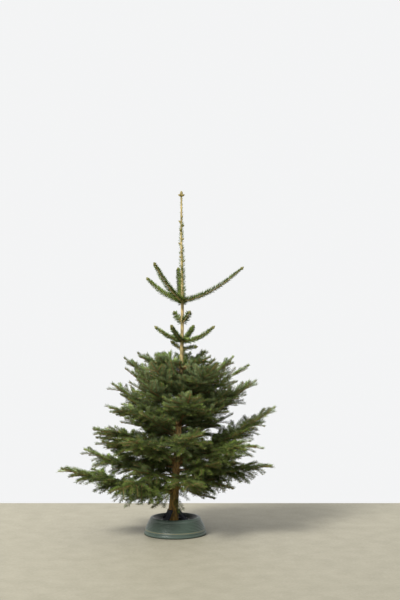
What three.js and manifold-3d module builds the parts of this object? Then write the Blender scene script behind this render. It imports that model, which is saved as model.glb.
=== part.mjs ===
// A cut Christmas tree, a fir with an open top and a full skirt, clamped in a round plastic stand.
// Millimetres, +Z up, +X to the right as the tree is seen from the front. The origin is on the floor, under
// the middle of the stand. The tree is a trunk, whorls of boughs, and a flat fan of needled twigs on each
// bough.
import * as THREE from "three";
import { mergeVertices } from "three/addons/utils/BufferGeometryUtils.js";
import Module from "manifold-3d";

const wasm = await Module();
wasm.setup();

// The whole
const treeHeight = 2100; // floor to the leader's top bud
const clearance = 0.3; // between pieces that touch

// The trunk
const trunk = {
  foot: 8 + clearance, // the saw cut stands on the stand's cup floor
  topOfGrip: 150, // straight up to here, where the claws hold it
  footX: -12, // the stem stands this far left of the stand's middle
  lean: 55, // and leans this far right on its way up
  leanSpan: 1250,
  buttRadius: 33,
  clearBole: 205, // height where the butt's swelling has gone
  boleRadius: 28,
  topWhorl: 1422,
  topWhorlRadius: 9.3,
  taper: 1.6, // 1 is a straight cone, more is slimmer in the middle
  tipRadius: 4.5,
  sides: 10,
  plainRings: [60, 110, 560, 750, 930, 1640, 1860], // heights of the rings between the whorls
  collarReach: 26, // each whorl swells the trunk over this much height on either side
  collarSwell: 1.14,
};

// The bud that ends the leader, in distances under its top and shares of the leader's tip radius, the side
// buds that climb the leader under it at the golden turn, and the ring of buds round its foot
const topBud = { neck: 32, widest: 22, widestSize: 1.9, shoulder: 8, shoulderSize: 1.3 };
const sideBud = { count: 11, first: 238, last: 510, length: 13, radius: 4.2, steep: 0.8 };
const ringBud = { count: 5, under: 36, length: 15, radius: 4.6, steep: 0.7 };
const goldenTurn = 137.5;

// The stand, a round shell with a cup in it
const stand = {
  radius: 190,
  height: 105,
  shoulderRadius: 152,
  crestRadius: 139,
  wall: 5,
  mouthRadius: 112,
  ledgeHeight: 76,
  ledgeOuter: 94,
  cupRadius: 72,
  cupFloor: 8,
  segments: 30,
};

// The clamp: four claws that turn on pins over a ring, each with a round head that leans on the trunk
const claw = {
  count: 4,
  firstAzimuth: 50,
  width: 20,
  head: 150, // height of the head's top
  headRadius: 10,
  bite: 3, // how far the head would reach into the trunk if it weren't cut to it
  footRadius: 82, // how far the pins are from the stand's middle
  footHalf: 7,
  pinHeight: 97,
  pinRadius: 3,
};

// Whorls of boughs from the top down. azimuth is in degrees from +X, anticlockwise seen from above, so 270
// points at the viewer. reach is how far the bough goes out, lift how far its tip stands over its root, and
// bow how far its middle stands over the line between them; drop is how far under its whorl it leaves the
// trunk. bare is the share of the reach that is limb without needles, tuft the size of its tufts of
// needles, and width its twigs' length as a share of the reach.
const whorls = [
  {
    name: "crown",
    height: trunk.topWhorl,
    tuft: 17,
    bare: 0,
    limbRadius: 6,
    width: 0,
    boughs: [
      { azimuth: 97, reach: 262, lift: 236, bow: -25, drop: 18 },
      { azimuth: 136, reach: 322, lift: 152, bow: -26 },
      { azimuth: 241, reach: 340, lift: 232, bow: -28 },
      { azimuth: 352, reach: 380, lift: 213, bow: -38 },
    ],
  },
  {
    name: "upper_spur",
    height: 1290,
    tuft: 15,
    bare: 0,
    limbRadius: 4,
    width: 0,
    boughs: [
      { azimuth: 128, reach: 92, lift: 74, bow: -6 },
      { azimuth: 302, reach: 96, lift: 78, bow: -8 },
    ],
  },
  {
    name: "upper",
    height: 1179,
    tuft: 20,
    bare: 0,
    limbRadius: 6,
    width: 0,
    boughs: [
      { azimuth: 62, reach: 160, lift: 98, bow: -14 },
      { azimuth: 184, reach: 172, lift: 95, bow: -16 },
      { azimuth: 247, reach: 168, lift: 104, bow: -12 },
      { azimuth: 344, reach: 212, lift: 98, bow: -28 },
    ],
  },
  {
    name: "lower_spur",
    height: 1124,
    tuft: 17,
    bare: 0,
    limbRadius: 4,
    width: 0,
    boughs: [
      { azimuth: 168, reach: 72, lift: 56, bow: 0 },
      { azimuth: 354, reach: 100, lift: 20, bow: 4 },
    ],
  },
  {
    name: "third",
    height: 1016,
    tuft: 32,
    bare: 0,
    limbRadius: 6,
    width: 0.4,
    boughs: [
      { azimuth: 40, reach: 205, lift: 100, bow: -10 },
      { azimuth: 135, reach: 220, lift: 84, bow: -12 },
      { azimuth: 208, reach: 290, lift: 76, bow: -14 },
      { azimuth: 268, reach: 230, lift: 48, bow: -6 },
      { azimuth: 325, reach: 205, lift: 66, bow: -8 },
    ],
  },
  {
    name: "fourth",
    height: 838,
    tuft: 42,
    bare: 0,
    limbRadius: 8,
    width: 0.42,
    boughs: [
      { azimuth: 14, reach: 350, lift: 252, bow: -26 },
      { azimuth: 84, reach: 350, lift: 230, bow: -20 },
      { azimuth: 174, reach: 358, lift: 246, bow: -24 },
      { azimuth: 236, reach: 312, lift: 230, bow: -16 },
      { azimuth: 304, reach: 405, lift: 228, bow: -20 },
    ],
  },
  {
    name: "fifth",
    height: 660,
    tuft: 46,
    bare: 0,
    limbRadius: 9,
    width: 0.42,
    boughs: [
      { azimuth: 54, reach: 490, lift: 165, bow: -12 },
      { azimuth: 158, reach: 465, lift: 254, bow: -20 },
      { azimuth: 207, reach: 470, lift: 129, bow: 6 },
      { azimuth: 280, reach: 450, lift: 235, bow: -8 },
      { azimuth: 350, reach: 490, lift: 292, bow: -26 },
    ],
  },
  {
    name: "sixth",
    height: 455,
    tuft: 48,
    bare: 0.2,
    limbRadius: 9,
    width: 0.4,
    boughs: [
      { azimuth: 95, reach: 560, lift: 170, bow: 0 },
      { azimuth: 190, reach: 522, lift: 192, bow: 26 },
      { azimuth: 238, reach: 515, lift: 180, bow: 22, drop: 16 },
      { azimuth: 282, reach: 500, lift: 200, bow: 16 },
      { azimuth: 322, reach: 612, lift: 152, bow: 24, drop: 28 },
      { azimuth: 355, reach: 614, lift: 332, bow: -34 },
    ],
  },
  {
    name: "seventh",
    height: 328,
    tuft: 48,
    bare: 0.2,
    limbRadius: 9,
    width: 0.38,
    boughs: [
      { azimuth: 45, reach: 600, lift: 92, bow: 10 },
      { azimuth: 105, reach: 600, lift: 84, bow: 14 },
      { azimuth: 170, reach: 588, lift: 180, bow: -18 },
      { azimuth: 200, reach: 722, lift: 180, bow: -14, drop: 74 },
      { azimuth: 232, reach: 560, lift: 2, bow: 18, droop: 0.4 },
      { azimuth: 284, reach: 480, lift: 34, bow: 16, droop: 0.2 },
      { azimuth: 346, reach: 612, lift: 106, bow: 10 },
    ],
  },
];

// The twigs, in pairs along each stem: gap and radius in millimetres, angle off the stem in degrees, and
// the rest as shares of a twig's length
const twig = { gap: 130, angle: 46, radius: 2.4, shortest: 30, uneven: 0.14, tilt: 0.16, droop: 0.07 };
// The teeth along a twig, each a tuft of needles, in shares of its whorl's tuft
const tooth = { gap: 1.75, shortest: 0.4, sweep: 0.5, upward: 0.6 };
const degrees = Math.PI / 180;
const up = new THREE.Vector3(0, 0, 1);

// The same numbers in the same order from the same seed
function seededRandom(seed) {
  let state = (seed * 7919 + 104729) % 2147483647;
  return () => {
    state = (state * 16807) % 2147483647;
    return state / 2147483647;
  };
}

// A closed surface of points and triangles as a solid
function solidOf(positions, triangles) {
  return new wasm.Manifold(
    new wasm.Mesh({
      numProp: 3,
      vertProperties: new Float32Array(positions),
      triVerts: new Uint32Array(triangles),
    }),
  );
}

// A closed three.js geometry as a solid
function solidFrom(geometry) {
  const bare = geometry.index ? geometry.toNonIndexed() : geometry.clone();
  bare.deleteAttribute("normal");
  bare.deleteAttribute("uv");
  const merged = mergeVertices(bare, 1e-3);
  return solidOf(merged.attributes.position.array, merged.index.array);
}

// A solid as a three.js mesh
function meshOf(name, solid, material) {
  const made = solid.getMesh();
  const corners = new Float32Array(made.numVert * 3);
  for (let i = 0; i < made.numVert; i++) {
    const start = i * made.numProp;
    corners.set(made.vertProperties.subarray(start, start + 3), i * 3);
  }
  const geometry = new THREE.BufferGeometry()
    .setAttribute("position", new THREE.BufferAttribute(corners, 3))
    .setIndex(new THREE.BufferAttribute(made.triVerts, 1));
  geometry.computeVertexNormals();
  const mesh = new THREE.Mesh(geometry, material);
  mesh.name = name;
  return mesh;
}

// A round solid from a closed profile of [radius, height] pairs, turned about Z
function turned(profile, segments) {
  const points = profile.map(([radius, height]) => new THREE.Vector2(radius, height));
  return solidFrom(new THREE.LatheGeometry(points, segments).rotateX(Math.PI / 2));
}

// The trunk's middle and radius at a height
function trunkX(z) {
  const along = THREE.MathUtils.clamp((z - trunk.topOfGrip) / trunk.leanSpan, 0, 1.3);
  return trunk.footX + trunk.lean * Math.sin((along * Math.PI) / 2);
}

function trunkRadius(z) {
  const { clearBole, boleRadius, topWhorl, topWhorlRadius } = trunk;
  if (z < clearBole) {
    const swell = (clearBole - z) / clearBole;
    return boleRadius + (trunk.buttRadius - boleRadius) * swell;
  }
  if (z < topWhorl) {
    const left = 1 - (z - clearBole) / (topWhorl - clearBole);
    return topWhorlRadius + (boleRadius - topWhorlRadius) * left ** trunk.taper;
  }
  const rise = (z - topWhorl) / (treeHeight - topWhorl);
  return THREE.MathUtils.lerp(topWhorlRadius, trunk.tipRadius, rise);
}

// The trunk, with a collar where each whorl leaves it, and grown by extra where other pieces are cut clear
// of it
function trunkSolid(extra = 0) {
  const { collarReach, collarSwell, tipRadius } = trunk;
  const heights = new Set([trunk.foot - extra, trunk.topOfGrip, trunk.clearBole, ...trunk.plainRings]);
  for (const whorl of whorls.filter((w) => !w.name.endsWith("spur"))) {
    heights.add(whorl.height - collarReach).add(whorl.height).add(whorl.height + collarReach);
  }
  heights.add(treeHeight - topBud.neck);
  const tops = whorls.map((whorl) => whorl.height);
  const levels = [...heights].sort((low, high) => low - high);
  const rings = levels.map((z) => [trunkRadius(z) * (tops.includes(z) ? collarSwell : 1), z]);
  rings.push([tipRadius * topBud.widestSize, treeHeight - topBud.widest]);
  rings.push([tipRadius * topBud.shoulderSize, treeHeight - topBud.shoulder]);
  const grown = rings.map(([radius, z]) => [radius + extra, z]);
  const profile = [[0, levels[0]], ...grown, [0, treeHeight + extra]];
  return turned(profile, trunk.sides).warp((point) => {
    point[0] += trunkX(point[2]);
  });
}

// One bud: a short tapering spur out of the leader at a height and an azimuth
function budSolid(bud, z, azimuth) {
  const turn = azimuth * degrees;
  const out = new THREE.Vector3(Math.cos(turn), Math.sin(turn), bud.steep).normalize();
  const root = new THREE.Vector3(trunkX(z), 0, z).addScaledVector(out, 1);
  const line = (t) => root.clone().addScaledVector(out, t * (trunkRadius(z) + bud.length));
  return rod(line, (t) => bud.radius * (1.15 - t), 4, 1);
}

// The buds that the leader carries above the top whorl
function leaderBuds() {
  const buds = [];
  for (let i = 0; i < sideBud.count; i++) {
    const share = i / (sideBud.count - 1);
    const z = trunk.topWhorl + THREE.MathUtils.lerp(sideBud.first, sideBud.last, share);
    buds.push(budSolid(sideBud, z, i * goldenTurn));
  }
  for (let i = 0; i < ringBud.count; i++) {
    buds.push(budSolid(ringBud, treeHeight - ringBud.under, 20 + (i * 360) / ringBud.count));
  }
  return buds;
}

// A tapering rod round a line: t runs 0 to 1, and radius is a function of t
function rod(line, radius, sides, steps) {
  const positions = [];
  const triangles = [];
  for (let i = 0; i <= steps; i++) {
    const t = i / steps;
    const { across, above } = frameAt(line, t);
    for (let k = 0; k < sides; k++) {
      const turn = (2 * Math.PI * k) / sides;
      const point = line(t)
        .addScaledVector(across, Math.cos(turn) * radius(t))
        .addScaledVector(above, Math.sin(turn) * radius(t));
      positions.push(...point.toArray());
    }
  }
  for (let i = 0; i < steps; i++) {
    for (let k = 0; k < sides; k++) {
      const a = i * sides + k;
      const b = i * sides + ((k + 1) % sides);
      triangles.push(a, b, b + sides, a, b + sides, a + sides);
    }
  }
  const last = steps * sides;
  for (let k = 1; k < sides - 1; k++) {
    triangles.push(0, k + 1, k, last, last + k, last + k + 1);
  }
  const made = solidOf(positions, triangles);
  return made.volume() < 0 ? solidOf(positions, triangles.reverse()) : made;
}

// The directions along a line, level across it, and square to both
function frameAt(line, t) {
  const step = 0.01;
  const along = line(Math.min(t + step, 1)).sub(line(Math.max(t - step, 0))).normalize();
  const across = new THREE.Vector3().crossVectors(along, up).normalize();
  const above = new THREE.Vector3().crossVectors(across, along);
  return { along, across, above };
}

// A bough's middle line, from the trunk's middle at t 0 to its tip at t 1
function boughLine(whorl, bough) {
  const out = new THREE.Vector3(Math.cos(bough.azimuth * degrees), Math.sin(bough.azimuth * degrees), 0);
  const height = whorl.height - (bough.drop ?? 0);
  const root = new THREE.Vector3(trunkX(height), 0, height);
  return (t) =>
    root
      .clone()
      .addScaledVector(out, bough.reach * t)
      .addScaledVector(up, bough.lift * t + bough.bow * 4 * t * (1 - t));
}

// A needled twig: a slim three-sided stem with its flat side up, and a swept tooth on each side of each
// step, to the left, to the right and upward. The stem is toothless up to the share bare of its length, and
// ends in a point.
function needledTwig(line, length, stemRadius, bare, tuft) {
  const steps = Math.max(1, Math.round((length * (1 - bare)) / (tuft * tooth.gap)));
  const positions = [];
  const triangles = [];
  const stations = bare > 0 ? [0] : [];
  for (let i = 0; i <= steps; i++) stations.push(bare + ((1 - bare) * i) / steps);
  const place = (t, sideways, upward, onward) => {
    const { along, across, above } = frameAt(line, t);
    const point = line(t)
      .addScaledVector(across, sideways)
      .addScaledVector(above, upward)
      .addScaledVector(along, onward);
    positions.push(...point.toArray());
    return positions.length / 3 - 1;
  };
  for (const t of stations) {
    const radius = stemRadius * (1 - 0.6 * t);
    for (const turn of [270, 150, 30]) {
      place(t, Math.cos(turn * degrees) * radius, Math.sin(turn * degrees) * radius, 0);
    }
  }
  const last = 3 * (stations.length - 1);
  for (let first = 0; first < last; first += 3) {
    const [bottom, left, right] = [first, first + 1, first + 2];
    const leftSide = [left, bottom, bottom + 3, left + 3];
    const rightSide = [bottom, right, right + 3, bottom + 3];
    const topSide = [right, left, left + 3, right + 3];
    if (bare > 0 && first === 0) {
      triangles.push(...halves(leftSide), ...halves(rightSide), ...halves(topSide));
      continue;
    }
    const middle = (stations[first / 3] + stations[first / 3 + 1]) / 2;
    const full = Math.sin(Math.PI * (0.25 + 0.6 * middle));
    const size = tuft * (tooth.shortest + (1 - tooth.shortest) * full);
    const onward = tooth.sweep * size;
    triangles.push(...pyramid(leftSide, place(middle, -size, 0, onward)));
    triangles.push(...pyramid(rightSide, place(middle, size, 0, onward)));
    triangles.push(...pyramid(topSide, place(middle, 0, tooth.upward * size, onward)));
  }
  const end = place(1, 0, 0, tuft * tooth.shortest);
  triangles.push(0, 1, 2, last, end, last + 1, last + 1, end, last + 2, last + 2, end, last);
  const made = solidOf(positions, triangles);
  return made.volume() < 0 ? solidOf(positions, triangles.reverse()) : made;
}

// A four-sided face as two triangles, and as the four sides of a pyramid over it
function halves([a, b, c, d]) {
  return [a, b, c, a, c, d];
}

function pyramid([a, b, c, d], tip) {
  return [a, b, tip, b, c, tip, c, d, tip, d, a, tip];
}

// How long a twig is at a share t of the bough: a fan that is widest a third of the way out, kept inside
// the bough's own sector between its neighbours
function twigLength(whorl, bough, t, side) {
  const tip = 26;
  const fan = whorl.width * bough.reach * Math.min(1, 0.45 + 1.6 * t) * (1 - t) ** 0.55 + tip;
  const sector = (side > 0 ? bough.roomRight : bough.roomLeft) * degrees;
  const angle = twig.angle * degrees;
  const keep = whorl.tuft * 0.8 + 4;
  if (angle <= sector) return fan;
  const roomy = (bough.reach * t * Math.sin(sector) - keep) / Math.max(0.2, Math.sin(angle - sector));
  return Math.min(fan, roomy);
}

// The needles of one bough: a stem on the bough's line, with pairs of twigs that fan out from it
function foliage(whorl, bough, seed) {
  const line = boughLine(whorl, bough);
  const random = seededRandom(seed);
  const from = whorl.bare + (whorl.bare ? clearance / bough.reach : 0);
  const to = 1 - (whorl.tuft * tooth.shortest) / bough.reach;
  const stemLine = (t) => line(from + (to - from) * t);
  const stemRadius = whorl.limbRadius * (1 - 0.55 * from);
  const stemLength = bough.reach * (to - from);
  const pieces = [needledTwig(stemLine, stemLength, stemRadius, whorl.bare ? 0.06 : 0.1, whorl.tuft)];
  if (whorl.width > 0) {
    const first = Math.max(whorl.bare * bough.reach + 26, trunkRadius(whorl.height) + 34);
    const last = bough.reach - 62;
    const pairs = Math.max(1, Math.round((last - first) / twig.gap));
    for (let i = 0; i <= pairs; i++) {
      const t = (first + ((last - first) * i) / pairs) / bough.reach;
      for (const side of [-1, 1]) {
        const length = twigLength(whorl, bough, t, side) * (1 - twig.uneven * random());
        const tilt = twig.tilt * ((i % 2 ? side : -side) + random() - 0.5);
        if (length < twig.shortest) continue;
        const { along, across, above } = frameAt(line, t);
        const outward = along
          .clone()
          .multiplyScalar(Math.cos(twig.angle * degrees))
          .addScaledVector(across, side * Math.sin(twig.angle * degrees))
          .addScaledVector(above, tilt)
          .normalize();
        const sag = length * (bough.droop ?? twig.droop);
        const twigLine = (u) => line(t).addScaledVector(outward, length * u).addScaledVector(up, -sag * u * u);
        const sunk = Math.min(0.45, (whorl.limbRadius + 5) / length);
        pieces.push(needledTwig(twigLine, length, twig.radius + whorl.limbRadius * 0.12, sunk, whorl.tuft));
      }
    }
  }
  return wasm.Manifold.union(pieces);
}

// The bare inner limb of a bough, up to where its needles start
function limb(whorl, bough) {
  const line = boughLine(whorl, bough);
  const innerLine = (t) => line(whorl.bare * t);
  const flare = (t) => 1 + 0.2 * Math.max(0, 1 - t * 3);
  return rod(innerLine, (t) => whorl.limbRadius * (1 - 0.55 * whorl.bare * t) * flare(t), 6, 4);
}

// The free angle between each bough and the next in its whorl, shared half and half
function shareRoom(whorl) {
  const { boughs } = whorl;
  const margin = 2;
  boughs.forEach((bough, i) => {
    const next = boughs[(i + 1) % boughs.length];
    const gap = boughs.length > 1 ? (next.azimuth - bough.azimuth + 360) % 360 : 180;
    bough.roomLeft = gap / 2 - margin;
    next.roomRight = gap / 2 - margin;
  });
}

// The stand's shell: an outer skirt that is open underneath, a rounded shoulder, a dished top with a level
// ledge for the clamp, and a cup that stands on the floor
function standShell() {
  const { radius, height, shoulderRadius, crestRadius, wall, mouthRadius, ledgeHeight, ledgeOuter } = stand;
  const { cupRadius, cupFloor } = stand;
  const mouthDrop = 16; // the dish's lip is this far under the crest
  const underneath = [
    [0, 0],
    [cupRadius + wall, 0],
    [cupRadius + wall + 2, ledgeHeight - wall],
    [ledgeOuter + 1, ledgeHeight - wall],
    [mouthRadius + 3, height - mouthDrop - wall],
    [crestRadius, height - wall],
    [shoulderRadius - wall, height - 17],
    [radius - wall - 3, 20],
    [radius - wall, 0],
  ];
  const outside = [
    [radius, 0],
    [radius - 0.5, 15],
    [radius - 4, 17],
    [radius - 4, 20],
    [radius - 2.5, 22],
    [shoulderRadius + 3, height - 12],
    [crestRadius + 9, height - 2.5],
    [crestRadius, height],
  ];
  const dish = [
    [crestRadius - 12, height - 4],
    [mouthRadius, height - mouthDrop],
    [ledgeOuter, ledgeHeight],
    [cupRadius + 2, ledgeHeight],
    [cupRadius, cupFloor],
    [0, cupFloor],
  ];
  return turned([...underneath, ...outside, ...dish], stand.segments);
}

// A box from its lowest corner to its highest
function block(low, high) {
  const size = high.map((value, i) => value - low[i]);
  const middle = high.map((value, i) => (value + low[i]) / 2);
  return solidFrom(new THREE.BoxGeometry(...size).translate(...middle));
}

// A level pin along Y, at a distance out along X
function pin(radius, length) {
  const rod = new THREE.CylinderGeometry(radius, radius, length, 8);
  return solidFrom(rod.translate(claw.footRadius, 0, claw.pinHeight));
}

// The clamp's base: a ring on the ledge, with two ears and a pin for each claw
function clampRing() {
  const low = stand.ledgeHeight + clearance;
  const high = low + 9;
  const ear = { thick: 4, top: claw.pinHeight + 6, sunk: 4, pinShows: 2 };
  const inner = stand.cupRadius + 1;
  const outer = stand.ledgeOuter - 1;
  const section = [[inner, low], [outer, low], [outer - 2, high], [inner, high], [inner, low]];
  const pieces = [turned(section, stand.segments)];
  for (let i = 0; i < claw.count; i++) {
    const half = claw.width / 2 + clearance;
    const ears = [half, -half - ear.thick].map((near) =>
      block(
        [claw.footRadius - claw.footHalf, near, low + ear.sunk],
        [claw.footRadius + claw.footHalf, near + ear.thick, ear.top],
      ),
    );
    const carried = [...ears, pin(claw.pinRadius, claw.width + 2 * (ear.thick + ear.pinShows))];
    pieces.push(wasm.Manifold.union(carried).rotate([0, 0, clawAzimuth(i)]));
  }
  return wasm.Manifold.union(pieces);
}

function clawAzimuth(i) {
  return claw.firstAzimuth + (i * 360) / claw.count;
}

// A claw: a curved plate that turns on its pin and leans its round head on the trunk. Its outline is drawn
// in the distance from the stand's middle and the height: foot, outer edge, head, inner edge
function clawSolid(i, trunkCut) {
  const { headRadius, footRadius: foot, footHalf, pinHeight } = claw;
  const reach = trunkRadius(claw.head) + trunk.footX * Math.cos(clawAzimuth(i) * degrees);
  const headX = reach + headRadius - claw.bite;
  const headZ = claw.head - headRadius;
  const headFrom = 0.2;
  const headTo = Math.PI * 0.95;
  const shape = new THREE.Shape();
  shape.moveTo(foot - footHalf, pinHeight - 4);
  shape.quadraticCurveTo(foot, pinHeight - 12, foot + footHalf, pinHeight - 4);
  shape.bezierCurveTo(
    foot + footHalf - 1,
    pinHeight + 14,
    headX + 15,
    pinHeight + 20,
    headX + headRadius * Math.cos(headFrom),
    headZ + headRadius * Math.sin(headFrom),
  );
  shape.absarc(headX, headZ, headRadius, headFrom, headTo, false);
  shape.quadraticCurveTo(headX + 12, pinHeight + 13, foot - 2 * footHalf, pinHeight - 6);
  shape.closePath();
  const hole = new THREE.Path();
  hole.absarc(foot, pinHeight, claw.pinRadius + clearance, 0, Math.PI * 2, true);
  shape.holes.push(hole);
  const plate = new THREE.ExtrudeGeometry(shape, { depth: claw.width, bevelEnabled: false, curveSegments: 7 });
  plate.translate(0, 0, -claw.width / 2).rotateX(Math.PI / 2);
  return solidFrom(plate).rotate([0, 0, clawAzimuth(i)]).subtract(trunkCut);
}

// What each kind of piece is made of
function material(color, roughness) {
  return new THREE.MeshStandardMaterial({ color, roughness, metalness: 0, flatShading: true });
}

const bark = material(0x8a6a45, 0.9);
const limbBark = material(0x6f5431, 0.9);
const needles = material(0x3c4a26, 0.6);
const standGreen = material(0x4a564b, 0.45);
const clampBlack = material(0x23252a, 0.4);

const tree = new THREE.Group();
const trunkCut = trunkSolid(clearance);
tree.add(meshOf("trunk", wasm.Manifold.union([trunkSolid(), ...leaderBuds()]), bark));

let seed = 1;
for (const whorl of whorls) {
  shareRoom(whorl);
  whorl.boughs.forEach((bough, i) => {
    const label = `${whorl.name}_${String.fromCharCode(97 + i)}`;
    if (whorl.bare > 0) {
      tree.add(meshOf(`bough_${label}`, limb(whorl, bough).subtract(trunkCut), limbBark));
      tree.add(meshOf(`needles_${label}`, foliage(whorl, bough, seed), needles));
    } else {
      tree.add(meshOf(`needles_${label}`, foliage(whorl, bough, seed).subtract(trunkCut), needles));
    }
    seed += 1;
  });
}

tree.add(meshOf("stand_shell", standShell(), standGreen));
tree.add(meshOf("stand_clamp_ring", clampRing(), clampBlack));
for (let i = 0; i < claw.count; i++) {
  tree.add(meshOf(`stand_claw_${i + 1}`, clawSolid(i, trunkCut), clampBlack));
}

export default tree;
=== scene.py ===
# A cut fir in a round plastic stand: trunk, boughs, needled shoots and the stand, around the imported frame.
# Metres, Z up, the tree's front towards -Y.
import bpy
import math
import numpy as np
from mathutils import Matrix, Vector


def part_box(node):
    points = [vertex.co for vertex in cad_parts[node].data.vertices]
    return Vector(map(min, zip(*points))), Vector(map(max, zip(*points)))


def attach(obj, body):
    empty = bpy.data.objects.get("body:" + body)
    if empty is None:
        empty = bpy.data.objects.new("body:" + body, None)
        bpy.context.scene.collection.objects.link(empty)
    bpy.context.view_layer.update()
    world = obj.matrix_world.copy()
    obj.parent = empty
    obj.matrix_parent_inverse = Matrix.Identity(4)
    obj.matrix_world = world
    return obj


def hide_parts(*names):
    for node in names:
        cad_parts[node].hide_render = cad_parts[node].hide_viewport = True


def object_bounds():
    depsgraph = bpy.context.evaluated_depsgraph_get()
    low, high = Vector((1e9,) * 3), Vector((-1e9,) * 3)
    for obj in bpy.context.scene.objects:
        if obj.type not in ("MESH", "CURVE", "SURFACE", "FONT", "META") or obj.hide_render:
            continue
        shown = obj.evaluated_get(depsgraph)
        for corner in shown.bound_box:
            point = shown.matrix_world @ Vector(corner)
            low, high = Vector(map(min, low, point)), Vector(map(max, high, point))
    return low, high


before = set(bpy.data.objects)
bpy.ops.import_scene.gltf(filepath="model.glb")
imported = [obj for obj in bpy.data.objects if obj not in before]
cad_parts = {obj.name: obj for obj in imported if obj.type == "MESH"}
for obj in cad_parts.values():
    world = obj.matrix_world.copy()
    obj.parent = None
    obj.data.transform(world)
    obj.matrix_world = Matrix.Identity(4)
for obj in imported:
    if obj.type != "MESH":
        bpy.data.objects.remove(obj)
cadBox = [list(corner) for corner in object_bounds()]
scene = bpy.context.scene
up = np.array([0.0, 0.0, 1.0])
goldenTurn = 137.5
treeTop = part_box("trunk")[1].z
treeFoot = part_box("trunk")[0].z

# The camera stands level, as the photo was taken; x is a little right of the tree
view = dict(x=0.151, away=7.35, height=1.43, lens=72, sensor=36)


def addObject(name, data):
    thing = bpy.data.objects.new(name, data)
    scene.collection.objects.link(thing)
    return thing


def makeCamera():
    camera = addObject("camera", bpy.data.cameras.new("camera"))
    camera.location = (view["x"], -view["away"], view["height"])
    camera.rotation_euler = (math.pi / 2, 0, 0)
    camera.data.lens = view["lens"]
    camera.data.sensor_width = view["sensor"]
    scene.camera = camera


makeCamera()
print("camera placed")


# A mesh straight from arrays: points (n, 3), and triangles (m, 3) or quads (m, 4)
def meshPiece(name, points, faces, materials, materialOfFace=None, smooth=False):
    mesh = bpy.data.meshes.new(name)
    corners = faces.shape[1]
    mesh.vertices.add(len(points))
    mesh.vertices.foreach_set("co", np.ascontiguousarray(points, np.float32).ravel())
    mesh.loops.add(faces.size)
    mesh.loops.foreach_set("vertex_index", np.ascontiguousarray(faces, np.int32).ravel())
    mesh.polygons.add(len(faces))
    mesh.polygons.foreach_set("loop_start", np.arange(0, faces.size, corners, dtype=np.int32))
    mesh.polygons.foreach_set("loop_total", np.full(len(faces), corners, np.int32))
    for material in materials:
        mesh.materials.append(material)
    if materialOfFace is not None:
        mesh.polygons.foreach_set("material_index", np.ascontiguousarray(materialOfFace, np.int32))
    mesh.polygons.foreach_set("use_smooth", np.full(len(faces), smooth))
    mesh.update(calc_edges=True)
    piece = addObject(name, mesh)
    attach(piece, "root")
    return piece


# Many things in one mesh: the points one after another, each one's faces counted on from its first point
def joinedMesh(parts):
    starts = np.cumsum([0] + [len(part[0]) for part in parts[:-1]])
    points = np.concatenate([part[0] for part in parts])
    faces = np.concatenate([part[1] + start for part, start in zip(parts, starts)])
    return points, faces


def unit(v):
    return v / np.maximum(np.linalg.norm(v, axis=-1, keepdims=True), 1e-9)


def dot(a, b):
    return np.sum(a * b, axis=-1, keepdims=True)


# The part of v that is square to the unit vector n, made a unit vector
def squareTo(n, v):
    return unit(v - n * dot(v, n))


# From a towards b by an angle for each: a cos + b sin
def between(a, b, angle):
    return a * np.cos(angle)[..., None] + b * np.sin(angle)[..., None]


# v, square to the unit vector n, turned about it: v cos + (n x v) sin
def turnedAbout(n, v, angle):
    return between(v, np.cross(n, v), angle)


# The angles of so many points round a ring
def ringTurns(count):
    return 2 * math.pi * np.arange(count) / count


# Each owner has count things: the owner of each thing, and its number there
def shareOut(count):
    owner = np.repeat(np.arange(len(count)), count)
    return owner, np.arange(len(owner)) - np.repeat(np.cumsum(count) - count, count)


# Value noise from -1 to 1: a hashed number at each corner of a unit lattice, blended by f f (3 - 2 f) along
# each axis
noiseHash = dict(axes=(73856093, 19349663, 83492791), seed=977, rounds=((13, 1274126177), (15, 668265263)))


def softNoise(points, seed):
    cell = np.floor(points).astype(np.int64)
    f = points - cell
    f = f * f * (3 - 2 * f)
    total = np.zeros(points.shape[:-1])
    for corner in range(8):
        step = np.array([corner & 1, corner >> 1 & 1, corner >> 2 & 1])
        key = (cell + step) * np.array(noiseHash["axes"])
        number = (key[..., 0] ^ key[..., 1] ^ key[..., 2]) + seed * noiseHash["seed"]
        for shift, prime in noiseHash["rounds"]:
            number = (number ^ number >> shift) * prime & 0xFFFFFFFF
        share = np.prod(np.where(step == 1, f, 1 - f), axis=-1)
        total += share * ((number >> 8) / 8388607.5 - 1)
    return total


# The trunk's middle line and radius at a height, the same as the frame's solid: x leans as a quarter sine,
# and the radius falls as (1 - t) to the power taper up to the top whorl, then straight
trunk = dict(
    topOfGrip=0.150, footX=-0.012, lean=0.055, leanSpan=1.250,
    buttRadius=0.033, clearBole=0.205, boleRadius=0.028, topWhorl=1.422, topWhorlRadius=0.0093,
    taper=1.6, tipRadius=0.0045, budNeck=0.032,
    collarReach=0.016, collarSwell=0.14, spurCollar=0.4, around=48, step=0.0025,
)


def trunkX(z):
    along = np.clip((z - trunk["topOfGrip"]) / trunk["leanSpan"], 0, 1.3)
    return trunk["footX"] + trunk["lean"] * np.sin(along * math.pi / 2)


def trunkRadius(z):
    butt = trunk["boleRadius"] + (trunk["buttRadius"] - trunk["boleRadius"]) * (1 - z / trunk["clearBole"])
    left = 1 - (z - trunk["clearBole"]) / (trunk["topWhorl"] - trunk["clearBole"])
    thin = trunk["topWhorlRadius"]
    bole = thin + (trunk["boleRadius"] - thin) * np.clip(left, 0, 1) ** trunk["taper"]
    rise = np.clip((z - trunk["topWhorl"]) / (treeTop - trunk["topWhorl"]), 0, 1)
    leader = thin + (trunk["tipRadius"] - thin) * rise
    return np.where(z < trunk["clearBole"], butt, np.where(z < trunk["topWhorl"], bole, leader))


def trunkMiddle(z):
    return np.stack([trunkX(z), 0 * z, z], -1)


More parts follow.
